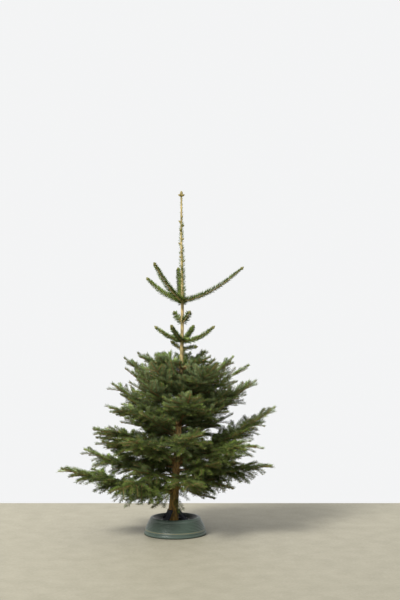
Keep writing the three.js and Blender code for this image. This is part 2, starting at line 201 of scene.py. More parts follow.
# Whorls from the top down, the frame's own. Each bough is azimuth in degrees, reach, lift and bow: how
# far it goes out, how far its tip stands over its root, and how far its middle stands over the line
# between them. drops names the boughs that leave the trunk under their whorl, and by how much, and droops
# those whose twigs hang more than plainDroop. hang is how much a whorl's finer shoots hang, and pieces is
# how many meshes its needles are shared out to
plainDroop = 0.07
plainWhorl = dict(bare=0, width=0, pieces=1, drops={}, droops={})
whorls = [
    dict(plainWhorl, name="crown", height=1.422, tuft=0.017, limb=0.006, hang=-0.05,
         boughs=[(97, 0.262, 0.236, -0.025), (136, 0.322, 0.152, -0.026),
                 (241, 0.340, 0.232, -0.028), (352, 0.380, 0.213, -0.038)],
         drops={0: 0.018}),
    dict(plainWhorl, name="upper_spur", height=1.290, tuft=0.015, limb=0.004, hang=-0.05,
         boughs=[(128, 0.092, 0.074, -0.006), (302, 0.096, 0.078, -0.008)]),
    dict(plainWhorl, name="upper", height=1.179, tuft=0.020, limb=0.006, hang=-0.08,
         boughs=[(62, 0.160, 0.098, -0.014), (184, 0.172, 0.095, -0.016),
                 (247, 0.168, 0.104, -0.012), (344, 0.212, 0.098, -0.028)]),
    dict(plainWhorl, name="lower_spur", height=1.124, tuft=0.017, limb=0.004, hang=0.0,
         boughs=[(168, 0.072, 0.056, 0), (354, 0.100, 0.020, 0.004)]),
    dict(plainWhorl, name="third", height=1.016, tuft=0.032, limb=0.006, width=0.4, hang=-0.10,
         boughs=[(40, 0.205, 0.100, -0.010), (135, 0.220, 0.084, -0.012), (208, 0.290, 0.076, -0.014),
                 (268, 0.230, 0.048, -0.006), (325, 0.205, 0.066, -0.008)]),
    dict(plainWhorl, name="fourth", height=0.838, tuft=0.042, limb=0.008, width=0.42, hang=-0.06, pieces=2,
         boughs=[(14, 0.350, 0.252, -0.026), (84, 0.350, 0.230, -0.020), (174, 0.358, 0.246, -0.024),
                 (236, 0.312, 0.230, -0.016), (304, 0.405, 0.228, -0.020)]),
    dict(plainWhorl, name="fifth", height=0.660, tuft=0.046, limb=0.009, width=0.42, hang=0.02, pieces=2,
         boughs=[(54, 0.490, 0.165, -0.012), (158, 0.465, 0.254, -0.020), (207, 0.470, 0.129, 0.006),
                 (280, 0.450, 0.235, -0.008), (350, 0.490, 0.292, -0.026)]),
    dict(plainWhorl, name="sixth", height=0.455, tuft=0.048, bare=0.2, limb=0.009, width=0.4, hang=0.11,
         pieces=2, drops={2: 0.016, 4: 0.028},
         boughs=[(95, 0.560, 0.170, 0), (190, 0.522, 0.192, 0.026), (238, 0.515, 0.180, 0.022),
                 (282, 0.500, 0.200, 0.016), (322, 0.612, 0.152, 0.024),
                 (355, 0.614, 0.332, -0.034)]),
    dict(plainWhorl, name="seventh", height=0.328, tuft=0.048, bare=0.2, limb=0.009, width=0.38, hang=0.12,
         pieces=2, drops={3: 0.074}, droops={4: 0.4, 5: 0.2},
         boughs=[(45, 0.600, 0.092, 0.010), (105, 0.600, 0.084, 0.014), (170, 0.588, 0.180, -0.018),
                 (200, 0.722, 0.180, -0.014), (232, 0.560, 0.002, 0.018),
                 (284, 0.480, 0.034, 0.016), (346, 0.612, 0.106, 0.010)]),
]
hangs = np.array([whorl["hang"] for whorl in whorls])
whorlNames = [whorl["name"] for whorl in whorls]
skirt = whorlNames.index("third")


# Shoots are kept as arrays, one row a shoot, each on the curve p(u) = a + b u + c u u with u from 0 to 1.
# order is 1 for a bough, 2 for its twigs and so on, low and high are the radii at its two ends, bare is the
# share with no needles, and spray is the twig of order 2 that it belongs to
rowNames = ("low", "high", "order", "whorl", "bough", "reach", "bare", "droop", "spray")
wholeRows = ("order", "whorl", "bough", "spray")


def makeShoots(a, b, c, **rows):
    shoots = dict(a=a, b=b, c=c)
    for key in rowNames:
        row = np.asarray(rows[key], int if key in wholeRows else float)
        shoots[key] = np.broadcast_to(row, (len(a),)).copy()
    shoots["length"] = np.linalg.norm(b + c, axis=1)
    return shoots


def shootsOf(rows):
    a, b, c, *rest = [np.array(column, float) for column in zip(*rows)]
    return makeShoots(a, b, c, **dict(zip(rowNames, rest)))


def joined(parts):
    return {key: np.concatenate([part[key] for part in parts]) for key in parts[0]}


def chosen(shoots, keep):
    return {key: value[keep] for key, value in shoots.items()}


def endsOf(shoots):
    return shoots["a"] + shoots["b"] + shoots["c"]


def placeOn(shoots, which, u):
    u = u[..., None]
    return shoots["a"][which] + shoots["b"][which] * u + shoots["c"][which] * u * u


def radiusOn(shoots, which, u):
    return shoots["low"][which] + (shoots["high"] - shoots["low"])[which] * u


# Along a shoot, level across it, square to both, and how level it runs from 0 to 1
def directionsOn(shoots, which, u):
    along = unit(shoots["b"][which] + 2 * shoots["c"][which] * u[..., None])
    across = np.cross(along, up)
    level = np.linalg.norm(across, axis=-1, keepdims=True)
    across = across / np.maximum(level, 1e-6)
    return along, across, np.cross(across, along), level


# One bough: p(u) = root + out reach u + up (lift u + 4 bow u (1 - u)), from the trunk's middle, cut short
# by the bud and needles that end it
def boughRow(azimuth, reach, lift, bow, height, ending=0.018):
    turn = math.radians(azimuth)
    out = np.array([math.cos(turn), math.sin(turn), 0])
    share = 1 - ending / math.hypot(reach, lift)
    b, c = out * reach + up * (lift + 4 * bow), -up * 4 * bow
    return trunkMiddle(np.float64(height)), b * share, c * share ** 2


def makeBoughs(tipRadius=0.0021):
    rows = []
    for w, whorl in enumerate(whorls):
        for i, (azimuth, reach, lift, bow) in enumerate(whorl["boughs"]):
            height = whorl["height"] - whorl["drops"].get(i, 0)
            a, b, c = boughRow(azimuth, reach, lift, bow, height)
            rows.append((a, b, c, whorl["limb"], tipRadius, 1, w, len(rows), reach, whorl["bare"],
                         whorl["droops"].get(i, plainDroop), -1))
    return shootsOf(rows)


# Inner boughs, the small ones between the whorls of the skirt and under the lowest. They climb the trunk at
# the golden turn, swung a little at random, and reach a share of what the whorls over and under them do
innerRule = dict(each=9, first=0.9, spare=0.6, blend=1.6, swing=18, share=0.72, uneven=0.16, steeper=1.1,
                 bow=-0.03, limb=0.0045, end=0.0016, bare=0.12, seed=5,
                 lowestHeight=0.250, lowestShare=0.52, lowestLift=-0.070)

# A few more inner boughs fill the sides where the tree is fuller: each is azimuth, reach, lift, bow, height
# and the whorl it goes with
addedBoughs = [
    (8, 0.440, 0.220, -0.020, 0.815, "fourth"),
    (187, 0.345, 0.222, -0.020, 0.800, "fourth"),
    (199, 0.330, 0.180, -0.010, 0.760, "fourth"),
    (186, 0.300, 0.140, 0.010, 0.610, "fifth"),
    (207, 0.390, 0.110, 0.010, 0.590, "fifth"),
    (181, 0.420, 0.100, 0.020, 0.425, "sixth"),
    (186, 0.500, 0.162, 0.032, 0.430, "sixth"),
    (190, 0.505, 0.135, 0.035, 0.422, "sixth"),
    (195, 0.490, 0.185, 0.034, 0.438, "sixth"),
    (200, 0.480, 0.160, 0.020, 0.420, "sixth"),
    (214, 0.470, -0.010, 0.030, 0.300, "seventh"),
    (333, 0.410, 0.010, 0.030, 0.292, "seventh"),
    (352, 0.370, -0.010, 0.030, 0.286, "seventh"),
]
addedEnd = 0.0018


# A share of the mean reach and lift of a whorl's boughs
def shareOfMean(whorl):
    return np.array([bough[1:3] for bough in whorl["boughs"]]).mean(axis=0) * innerRule["share"]


def makeInnerBoughs(firstNumber):
    rule = innerRule
    draws = np.random.default_rng(rule["seed"])
    rows = []
    for w in range(skirt, len(whorls)):
        top = whorls[w]["height"]
        over = shareOfMean(whorls[w])
        if w == len(whorls) - 1:
            bottom = rule["lowestHeight"]
            over = np.array([over[0] * rule["lowestShare"] / rule["share"], rule["lowestLift"]])
            beneath = over
        else:
            bottom = whorls[w + 1]["height"]
            beneath = shareOfMean(whorls[w + 1])
        for k in range(rule["each"]):
            down = (k + rule["first"]) / (rule["each"] + rule["spare"])
            height = top + (bottom - top) * down
            reach, lift = over + (beneath - over) * min(1, rule["blend"] * down)
            azimuth = goldenTurn * len(rows) + rule["swing"] * draws.random()
            size = 1 + rule["uneven"] * (2 * draws.random() - 1)
            out = reach * size
            a, b, c = boughRow(azimuth, out, lift * rule["steeper"] * size, rule["bow"] * out, height)
            rows.append((a, b, c, rule["limb"], rule["end"], 1, min(w + 1, len(whorls) - 1),
                         firstNumber + len(rows), out, rule["bare"], plainDroop, -1))
    for azimuth, reach, lift, bow, height, name in addedBoughs:
        a, b, c = boughRow(azimuth, reach, lift, bow, height)
        rows.append((a, b, c, rule["limb"], addedEnd, 1, whorlNames.index(name), firstNumber + len(rows),
                     reach, rule["bare"], plainDroop, -1))
    return shootsOf(rows)


# Half the angle to a bough's two neighbours in its whorl, less a margin: clockwise and anticlockwise
def roomOf(whorl, margin=2.0):
    turns = [bough[0] for bough in whorl["boughs"]]
    gaps = [((turns[(i + 1) % len(turns)] - turn) % 360) / 2 - margin for i, turn in enumerate(turns)]
    return [(math.radians(gaps[i - 1]), math.radians(gaps[i])) for i in range(len(turns))]


# Numbers from 0 to 1 that come in the same order from the same seed, as the frame's twigs are drawn
def seededDraws(seed):
    state = (seed * 7919 + 104729) % 2147483647
    while True:
        state = (state * 16807) % 2147483647
        yield state / 2147483647


# Twigs in pairs on each bough by the frame's own rule. A twig's length is a fan,
# width reach min(1, 0.45 + 1.6 t) (1 - t)^0.55 + tip, kept inside the bough's own sector
twigRule = dict(gap=0.130, angle=46, radius=0.0024, limbShare=0.05, end=0.0013, shortest=0.030, uneven=0.14,
                tilt=0.16, tip=0.026, offBare=0.026, offTrunk=0.034, offTip=0.062,
                tuftShare=0.8, clear=0.004, leastSine=0.2)


def twigLength(whorl, reach, t, sector):
    fan = whorl["width"] * reach * min(1, 0.45 + 1.6 * t) * (1 - t) ** 0.55 + twigRule["tip"]
    angle = math.radians(twigRule["angle"])
    if angle <= sector:
        return fan
    keep = whorl["tuft"] * twigRule["tuftShare"] + twigRule["clear"]
    sine = max(twigRule["leastSine"], math.sin(angle - sector))
    return min(fan, (reach * t * math.sin(sector) - keep) / sine)


def makeTwigs(boughs):
    rule = twigRule
    rows = []
    angle = math.radians(rule["angle"])
    for number in np.flatnonzero(boughs["whorl"] >= skirt):
        w, reach, droop = boughs["whorl"][number], boughs["reach"][number], boughs["droop"][number]
        whorl = whorls[w]
        room = roomOf(whorl)[number - np.searchsorted(boughs["whorl"], w)]
        draws = seededDraws(int(number) + 1)
        stem = float(trunkRadius(whorl["height"]))
        first = max(whorl["bare"] * reach + rule["offBare"], stem + rule["offTrunk"])
        last = reach - rule["offTip"]
        pairs = max(1, math.floor((last - first) / rule["gap"] + 0.5))
        for k in range(pairs + 1):
            t = (first + (last - first) * k / pairs) / reach
            on, u = np.array([number]), np.array([t])
            root = placeOn(boughs, on, u)[0]
            along, across, above = [part[0] for part in directionsOn(boughs, on, u)[:3]]
            for side in (-1, 1):
                sector = room[0] if side > 0 else room[1]
                length = twigLength(whorl, reach, t, sector) * (1 - rule["uneven"] * next(draws))
                lean = rule["tilt"] * ((side if k % 2 else -side) + next(draws) - 0.5)
                if length < rule["shortest"]:
                    continue
                way = unit(along * math.cos(angle) + across * side * math.sin(angle) + above * lean)
                radius = rule["radius"] + whorl["limb"] * rule["limbShare"]
                rows.append((root, way * length, -up * length * droop, radius, rule["end"], 2, w, number,
                             reach, 0, droop, len(rows)))
    return shootsOf(rows)


# Side shoots in pairs along each parent, counted back from its tip as yearly growth is: the last stretch
# stays unbranched, and a pair at a distance d from the tip has the length share d + tip. Each leaves at an
# angle, rolled about the parent out of its level plane, and bends up or hangs. Where twigs droop the pairs
# stand wider apart by droopGap and hang more by droopHang, and in a whorl that hangs they stand up less by
# settle. stagger, scatter, fan and sway are how much place, angle and hang vary, and narrow shortens those
# that stand up or hang down
growth = dict(droopGap=1.4, droopHang=0.9, settle=8, stagger=0.35, scatter=0.3, fan=12, sway=0.10,
              narrow=0.25, end=0.0009, firstSpray=10000, spraysEach=1000)


def sideShoots(parents, rule, seed):
    draws = np.random.default_rng(seed)
    length = parents["length"]
    free = length * (1 - parents["bare"]) - rule["start"] - rule["end"]
    gap = rule["gap"] * (1 + growth["droopGap"] * (parents["droop"] - plainDroop))
    places = np.where(length > rule["longEnough"], np.maximum(np.floor(free / gap).astype(int) + 1, 0), 0)
    which, k = shareOut(places * 2)
    side = np.where(k % 2 == 0, 1.0, -1.0)
    luck = draws.random((len(k), 6))
    pair = k // 2 + growth["stagger"] * (k % 2) + growth["scatter"] * luck[:, 0]
    fromTip = rule["end"] + pair * gap[which]
    u = np.clip(1 - fromTip / length[which], 0.04, 0.96)
    whorl, droop = parents["whorl"][which], parents["droop"][which]
    rise = 1 - growth["settle"] * np.maximum(hangs, 0)[whorl]
    roll = np.radians(rule["lift"] * rise + rule["roll"] * (2 * luck[:, 1] - 1))
    size = np.clip(rule["share"] * fromTip + rule["tip"], rule["shortest"], rule["longest"])
    size = size * (1 - rule["uneven"] * luck[:, 2]) * (1 - growth["narrow"] * np.sin(roll) ** 2)
    angle = np.radians(rule["angle"] + growth["fan"] * (luck[:, 3] - 0.5))
    along, across, above, _ = directionsOn(parents, which, u)
    off = across * (side * np.cos(roll))[:, None] + above * np.sin(roll)[:, None]
    way = between(along, off, angle) * size[:, None]
    hang = hangs[whorl] + growth["droopHang"] * (droop - plainDroop) + growth["sway"] * (luck[:, 4] - 0.5)
    newSpray = growth["firstSpray"] + seed * growth["spraysEach"] + np.arange(len(k))
    return makeShoots(
        placeOn(parents, which, u), way, -up * (size * hang)[:, None], low=rule["radius"], high=growth["end"],
        order=rule["order"], whorl=whorl, bough=parents["bough"][which], reach=parents["reach"][which],
        bare=0, droop=droop, spray=newSpray if rule["order"] == 2 else parents["spray"][which])


# ridge shoots stand up from the boughs and hang under them, between ones fill their fans, inner ones fan
# from the inner boughs, and the third and fourth orders carry the twigs on
ridgeShoots = dict(order=2, start=0.040, end=0.100, gap=0.058, longEnough=0.16, share=0.52, tip=0.045,
                   angle=42, roll=60, lift=38, shortest=0.060, longest=0.190, uneven=0.3, radius=0.0019)
betweenShoots = dict(order=2, start=0.045, end=0.085, gap=0.068, longEnough=0.16, share=0.60, tip=0.035,
                     angle=44, roll=34, lift=4, shortest=0.060, longest=0.220, uneven=0.3, radius=0.0021)
innerShoots = dict(order=2, start=0.030, end=0.085, gap=0.060, longEnough=0.12, share=0.66, tip=0.026,
                   angle=43, roll=44, lift=12, shortest=0.060, longest=0.190, uneven=0.25, radius=0.0020)
thirdShoots = dict(order=3, start=0.022, end=0.078, gap=0.055, longEnough=0.105, share=0.76, tip=0.014,
                   angle=41, roll=30, lift=12, shortest=0.055, longest=0.145, uneven=0.22, radius=0.0016)
fourthShoots = dict(order=4, start=0.024, end=0.062, gap=0.050, longEnough=0.112, share=0.66, tip=0.010,
                    angle=41, roll=36, lift=12, shortest=0.040, longest=0.075, uneven=0.22, radius=0.0012)

# Room that stays free: stretches of the trunk's height that are open towards the front, as the tree shows
# them, and room off the trunk, the stand, the floor, the frame's box and over a bough's tip
openFront = dict(stretches=[(0.19, 0.262), (0.365, 0.455), (0.60, 0.69), (0.975, 2.0)], margin=0.012)
freeRoom = dict(lowest=0.165, standRadius=0.25, overStand=0.205, offTrunk=0.010, overTip=0.012, overRoot=0.06,
                overBox=0.002, at=(0.35, 0.7, 1.0))


# Where a point stands as the camera sees it, on the upright plane through the trunk
def seenAt(points):
    near = view["away"] / (view["away"] + points[..., 1])
    x = view["x"] + (points[..., 0] - view["x"]) * near
    return x, view["height"] + (points[..., 2] - view["height"]) * near


# Leaves out what would grow into the trunk, the stand or the floor, past the frame's box, over its bough's
# tip, or before an open stretch
def insideRoom(shoots, tipOf=None):
    room = freeRoom
    keep = np.ones(len(shoots["a"]), bool)
    if tipOf is not None:
        keep &= endsOf(shoots)[:, 2] < tipOf[shoots["bough"]] + room["overTip"]
    for u in room["at"]:
        p = placeOn(shoots, np.arange(len(keep)), np.full(len(keep), u))
        keep &= np.hypot(p[:, 0] - trunkX(p[:, 2]), p[:, 1]) > trunkRadius(p[:, 2]) + room["offTrunk"]
        keep &= p[:, 2] > room["lowest"]
        keep &= (p[:, 2] > room["overStand"]) | (np.hypot(p[:, 0], p[:, 1]) > room["standRadius"])
        for axis in range(3):
            keep &= p[:, axis] > cadBox[0][axis] - room["overBox"]
            keep &= p[:, axis] < cadBox[1][axis] + room["overBox"]
        x, z = seenAt(p)
        before = (p[:, 1] < 0) & (np.abs(x - trunkX(z)) < trunkRadius(z) + openFront["margin"])
        for low, high in openFront["stretches"]:
            keep &= ~(before & (z > low) & (z < high))
    return chosen(shoots, keep)


# Sprigs, small shoots straight from the trunk, around its foot and before the root of the sixth whorl. Each
# is its height, the way it goes and how far it sags
sprigs = [
    (0.208, (0.020, -0.055, -0.042), 0.022),
    (0.216, (0.038, -0.052, -0.036), 0.020),
    (0.238, (0.060, -0.030, 0.000), 0.024),
    (0.262, (-0.085, -0.030, -0.010), 0.040),
    (0.520, (-0.050, -0.120, -0.004), 0.030),
    (0.505, (0.040, -0.130, 0.006), 0.040),
    (0.490, (0.004, -0.110, -0.010), 0.020),
    (0.300, (-0.056, -0.040, -0.035), 0.045),
    (0.250, (-0.040, -0.050, -0.030), 0.032),
]
sprigRule = dict(low=0.0018, high=0.0009, reach=0.5, sunk=0.9, firstSpray=8000)


def makeSprigs(bough):
    rule = sprigRule
    rows = []
    for k, (height, way, sag) in enumerate(sprigs):
        way = np.array(way)
        out = unit(way * (1, 1, 0)) * float(trunkRadius(height)) * rule["sunk"]
        rows.append((trunkMiddle(np.float64(height)) + out, way, -up * sag, rule["low"], rule["high"], 3,
                     len(whorls) - 1, bough, rule["reach"], 0, plainDroop, rule["firstSpray"] + k))
    return shootsOf(rows)


def growTree():
    boughs = makeBoughs()
    inner = insideRoom(makeInnerBoughs(len(boughs["a"])))
    twigs = makeTwigs(boughs)
    stems = joined([boughs, inner])
    tips = np.zeros(stems["bough"].max() + 1)
    tips[stems["bough"]] = np.maximum(endsOf(stems)[:, 2], stems["a"][:, 2] + freeRoom["overRoot"])
    leafy = chosen(boughs, boughs["whorl"] >= skirt)
    ridge = insideRoom(sideShoots(leafy, ridgeShoots, 11), tips)
    fans = insideRoom(sideShoots(inner, innerShoots, 12), tips)
    filling = insideRoom(sideShoots(leafy, betweenShoots, 15), tips)
    thirds = insideRoom(sideShoots(joined([twigs, ridge, filling, fans]), thirdShoots, 13), tips)
    small = makeSprigs(len(boughs["a"]))
    fourths = insideRoom(sideShoots(joined([thirds, small]), fourthShoots, 14), tips)
    parts = [boughs, inner, twigs, ridge, filling, fans, thirds, fourths, small]
    print("shoots:", [len(part["a"]) for part in parts])
    return stems, joined(parts)


stems, shoots = growTree()
print("metres of shoots:", round(float(shoots["length"].sum()), 1))


# Shader nodes in short: a socket is set, or linked where its value is another node's output
def setSocket(material, socket, value):
    if hasattr(value, "is_linked"):
        material.node_tree.links.new(value, socket)
    else:
        socket.default_value = (*value, 1) if socket.type == "RGBA" else value


def addNode(material, kind, **sockets):
    node = material.node_tree.nodes.new(kind)
    for name, value in sockets.items():
        setSocket(material, node.inputs[name], value)
    return node


def ranged(material, value, low, high, toLow, toHigh):
    return addNode(material, "ShaderNodeMapRange", **{
        "Value": value, "From Min": low, "From Max": high, "To Min": toLow, "To Max": toHigh}).outputs[0]


def mixed(material, factor, a, b, how="MIX"):
    node = material.node_tree.nodes.new("ShaderNodeMix")
    node.data_type = "RGBA"
    node.blend_type = how
    for socket, value in ((0, factor), (6, a), (7, b)):
        setSocket(material, node.inputs[socket], value)
    return node.outputs[2]


def noiseOver(material, place, scale, detail, stretch=None):
    if stretch:
        place = addNode(material, "ShaderNodeMapping", Scale=stretch, Vector=place).outputs[0]
    return addNode(material, "ShaderNodeTexNoise", Vector=place, Scale=scale, Detail=detail).outputs[0]


def newMaterial(name):
    material = bpy.data.materials.new(name)
    material.use_nodes = True
    return material


def finish(material, colour, roughness, specular=0.5, bump=None):
    sockets = {"Base Color": colour, "Roughness": roughness, "Specular IOR Level": specular}
    if bump:
        sockets["Normal"] = bump.outputs[0]
    for name, value in sockets.items():
        setSocket(material, material.node_tree.nodes["Principled BSDF"].inputs[name], value)
    return material


# Plain finishes for the many small things, one colour each
def plainMaterial(name, colour, roughness, specular=0.5):
    return finish(newMaterial(name), colour, roughness, specular)


# Needles. Each is a closed blade of four faces, with a ridge from base to tip and a wing on either side.
# Round the shoot they stand at the golden turn, folded into an arc that leaves the underside free. Each
# leans out of the shoot by open at its sides and by close on top, less by tipClose at the shoot's end,
# and lies flat side up, rolled a little at random. They are shorter by taper along the shoot and by
# tipShrink near its end, and the last one stands at the share last. In the skirt the orders 1, 2 and from
# 3 on bear the share kept, and those on the boughs' own stems crowd outwards by the power outward
needleLook = dict(
    perMetre=600, length=0.0238, width=0.0042, thick=0.0008, widest=0.58, sizes=(0.82, 0.30), sunk=0.7,
    arc=110, open=46, close=35, tipClose=0.3, tipFrom=0.82, tipSpan=0.18, jitter=0.20, stray=0.12, curl=0.05,
    roll=0.6, taper=0, tipShrink=0.05, last=1.0, kept=(0.85, 0.85, 1.0), outward=0.6, fewest=4,
)
shootLook = dict(needleLook, tipShrink=0.35, last=0.98)
looks = dict(
    crown=dict(shootLook, perMetre=2100, length=0.0325, width=0.0034, arc=134, open=56, close=46, jitter=0.3,
               stray=0.2, roll=1.1, tipClose=0.1, taper=0.42),
    upper_spur=dict(shootLook, perMetre=1700, length=0.0265, arc=160, open=60, close=50, jitter=0.35,
                    stray=0.25, roll=1.1, tipClose=0.2),
    upper=dict(shootLook, perMetre=2400, length=0.0280, arc=160, open=50, close=34, jitter=0.40, stray=0.25,
               roll=1.0, taper=0.30),
    lower_spur=dict(shootLook, perMetre=1900, length=0.0240, arc=150, open=52, close=36, jitter=0.3,
                    stray=0.2, roll=1.0),
    third=dict(needleLook, perMetre=800),
)
blade = np.array([[0, 3, 1], [0, 1, 2], [0, 2, 3], [1, 3, 2]])


# Blades from their bases, directions, flat sides' normals and lengths
def blades(base, way, flat, size, look):
    wing = np.cross(flat, way)
    tip = base + way * size + flat * size * look["curl"]
    middle = base + way * size * look["widest"] - flat * look["thick"]
    half = wing * look["width"] * 0.5
    points = np.stack([base, tip, middle - half, middle + half], axis=1).reshape(-1, 3)
    faces = (blade[None] + 4 * np.arange(len(base))[:, None, None]).reshape(-1, 3)
    return points, faces


def makeNeedles(own, look, seed):
    draws = np.random.default_rng(seed)
    length, bare = own["length"], own["bare"]
    inSkirt = own["whorl"] >= skirt
    kept = np.where(inSkirt, np.interp(own["order"], (1, 2, 3), look["kept"]), 1)
    count = np.maximum(look["fewest"], np.round(length * (1 - bare) * look["perMetre"] * kept)).astype(int)
    which, k = shareOut(count)
    luck = draws.random((len(k), 6))
    share = (k + luck[:, 0]) / count[which]
    share = np.where((inSkirt & (own["order"] == 1))[which], share ** look["outward"], share)
    u = bare[which] + (1 - bare[which]) * share * look["last"]
    along, across, above, level = directionsOn(own, which, u)
    turn = np.mod(k * goldenTurn / 360 + draws.random(len(length))[which], 1) * 2 - 1
    turn = turn * math.radians(look["arc"])
    radial = between(above, across, turn)
    lean = np.radians(look["close"] + (look["open"] - look["close"]) * np.abs(np.sin(turn)))
    nearTip = np.clip((u - look["tipFrom"]) / look["tipSpan"], 0, 1) ** 2
    lean = lean * (1 - look["tipClose"] * nearTip) * (1 + look["jitter"] * (2 * luck[:, 1] - 1))
    way = unit(between(along, radial, lean) + look["stray"] * (luck[:, 2:5] - 0.5))
    flat = unit(squareTo(way, above) * level + squareTo(way, radial) * (1 - level))
    flat = turnedAbout(way, flat, look["roll"] * (2 * luck[:, 5] - 1))
    least, more = look["sizes"]
    size = look["length"] * (least + more * luck[:, 1]) * (1 - look["tipShrink"] * nearTip)
    size = (size * (1 - look["taper"] * u))[:, None]
    base = placeOn(own, which, u) + radial * radiusOn(own, which, u)[:, None] * look["sunk"]
    points, faces = blades(base, way, flat, size, look)
    return points, faces, which, k, turn


# Needle colours from dark to light, then the undersides. The glint is a painted highlight: the palest top
# colour, which stands in for the shine that glossy needles catch
needleColours = dict(
    deep=(0.022, 0.029, 0.009),
    old=(0.049, 0.062, 0.015),
    grown=(0.085, 0.118, 0.026),
    fresh=(0.125, 0.176, 0.033),
    paintedGlint=(0.250, 0.315, 0.095),
    silver=(0.105, 0.140, 0.066),
    under=(0.118, 0.154, 0.066),
    underFresh=(0.133, 0.172, 0.044),
)
needleMaterials = {
    name: plainMaterial(name + "Needles", colour, 0.5, 0.10) for name, colour in needleColours.items()
}
deep, old, grown, fresh, paintedGlint, silver, under, underFresh = range(len(needleColours))

# The plain shoots over the skirt have one colour each, by the number of their bough
plainColours = np.array([old, grown, fresh, grown, grown, grown, grown, fresh, silver, fresh, grown, grown])
sprayLuck = np.random.default_rng(77).random(8192)
runLuck = np.random.default_rng(31).random(65536)


# Colours dealt out by spray: outer sprays are fresher, inner ones old, and some of the upper ones
# silvery. Drooping sprays are dealt darker colours and no spray low down is fresh, as painted shade. A
# shoot's luck is part its own and part its spray's
def dealColours(own, seed):
    rule = dict(ownShare=0.45, sprayShare=0.55, droopShade=0.3, oldUnder=0.32, freshOut=0.66, freshOver=0.56,
                freshHeight=0.38, heights=(0.70, 1.00, 1.10, 1.20), silverOver=(0.80, 0.55, 0.55, 1.0))
    draws = np.random.default_rng(seed)
    tips = endsOf(own)
    out = np.hypot(tips[:, 0] - trunkX(tips[:, 2]), tips[:, 1]) / own["reach"]
    spray = sprayLuck[own["spray"] % len(sprayLuck)]
    luck = rule["ownShare"] * draws.random(len(out)) + rule["sprayShare"] * spray
    # Painted shade: drooping sprays lose luck and so take darker colours
    luck = luck - rule["droopShade"] * (own["droop"] - plainDroop)
    colour = np.where(luck < rule["oldUnder"], old, grown)
    # Painted shade: only sprays over freshHeight can be fresh, so the low ones stay darker
    outer = (out > rule["freshOut"]) & (tips[:, 2] > rule["freshHeight"])
    colour = np.where(outer & (luck > rule["freshOver"]), fresh, colour)
    colour = np.where(luck > np.interp(tips[:, 2], rule["heights"], rule["silverOver"]), silver, colour)
    bough = np.minimum(own["bough"], len(plainColours) - 1)
    return np.where(own["whorl"] < skirt, plainColours[bough], colour)


# Along a shoot, runs of needles take the next colour down or up, at random and by where they stand round
# it: up more often on top, a painted light, and down more often at the sides, a painted shade
def runColours(colour, which, k, turn):
    rule = dict(run=6, darker=0.27, lighter=0.75, paintedLightShift=0.9, middle=0.31)
    luck = runLuck[(which * 613 + k // rule["run"] * 7919) % len(runLuck)]
    # Painted light and shade: this shift raises the needles on a shoot's top and lowers those at its sides
    luck = luck + rule["paintedLightShift"] * (rule["middle"] - np.abs(turn) / math.pi)
    down = np.array([deep, deep, old, grown, fresh, grown, under, underFresh])[colour]
    raised = np.array([old, grown, fresh, paintedGlint, paintedGlint, paintedGlint, under, underFresh])[colour]
    return np.where(luck < rule["darker"], down, np.where(luck > rule["lighter"], raised, colour))


# The needles of a whorl, or of every other bough of it, with paler undersides from whorl palerFrom down
def needlesOf(w, part, palerFrom=3):
    whorl = whorls[w]
    label = whorl["name"] + ("_" + str(part + 1) if whorl["pieces"] > 1 else "")
    own = chosen(shoots, (shoots["whorl"] == w) & (shoots["bough"] % whorl["pieces"] == part))
    look = looks.get(whorl["name"], needleLook)
    points, faces, which, k, turn = makeNeedles(own, look, 100 + 10 * w + part)
    colour = runColours(dealColours(own, 200 + 10 * w + part)[which], which, k, turn)
    below = np.where(colour == fresh, underFresh, np.where(colour == deep, grown, under))
    below = np.where(w < palerFrom, colour, below)
    materialOfFace = np.stack([colour, colour, below, below], 1).ravel()
    materials = list(needleMaterials.values())
    piece = meshPiece("needles_of_" + label, points, faces, materials, materialOfFace)
    first = sum(len(other["boughs"]) for other in whorls[:w])
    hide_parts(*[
        "needles_" + whorl["name"] + "_" + "abcdefg"[i]
        for i in range(len(whorl["boughs"])) if (first + i) % whorl["pieces"] == part])
    return len(faces)


counts = [needlesOf(w, part) for w, whorl in enumerate(whorls) for part in range(whorl["pieces"])]
print("needle faces:", counts, sum(counts))


# Tubes round many lines at once: middles (n, rings, 3), radii (n, rings) or (n, rings, sides), closed at
# both ends
def tubes(middles, across, above, radii, sides):
    n, rings = middles.shape[:2]
    if radii.ndim == 2:
        radii = radii[:, :, None]
    ring = between(across[:, :, None], above[:, :, None], ringTurns(sides))
    skin = middles[:, :, None] + ring * radii[..., None]
    points = np.concatenate([skin.reshape(n, -1, 3), middles[:, :1], middles[:, -1:]], axis=1)
    i, j = np.meshgrid(np.arange(rings - 1), np.arange(sides), indexing="ij")
    p = (i * sides + j).ravel()
    q = (i * sides + (j + 1) % sides).ravel()
    wall = np.concatenate([np.stack([p, q, q + sides], 1), np.stack([p, q + sides, p + sides], 1)])
    first = np.arange(sides)
    last = first + (rings - 1) * sides
    caps = np.concatenate([
        np.stack([np.roll(first, -1), first, np.full(sides, rings * sides)], 1),
        np.stack([last, np.roll(last, -1), np.full(sides, rings * sides + 1)], 1)])
    one = np.concatenate([wall, caps])
    faces = (one[None] + points.shape[1] * np.arange(n)[:, None, None]).reshape(-1, 3)
    return points.reshape(-1, 3), faces


# Tubes along shoots, with a ring at each u of each shoot
def tubesOn(own, which, u, radii, sides):
    n = len(own["a"])
    _, across, above, _ = directionsOn(own, which, u)
    lines = [part.reshape(n, -1, 3) for part in (placeOn(own, which, u), across, above)]
    return tubes(*lines, radii.reshape(n, -1, *radii.shape[1:]), sides)


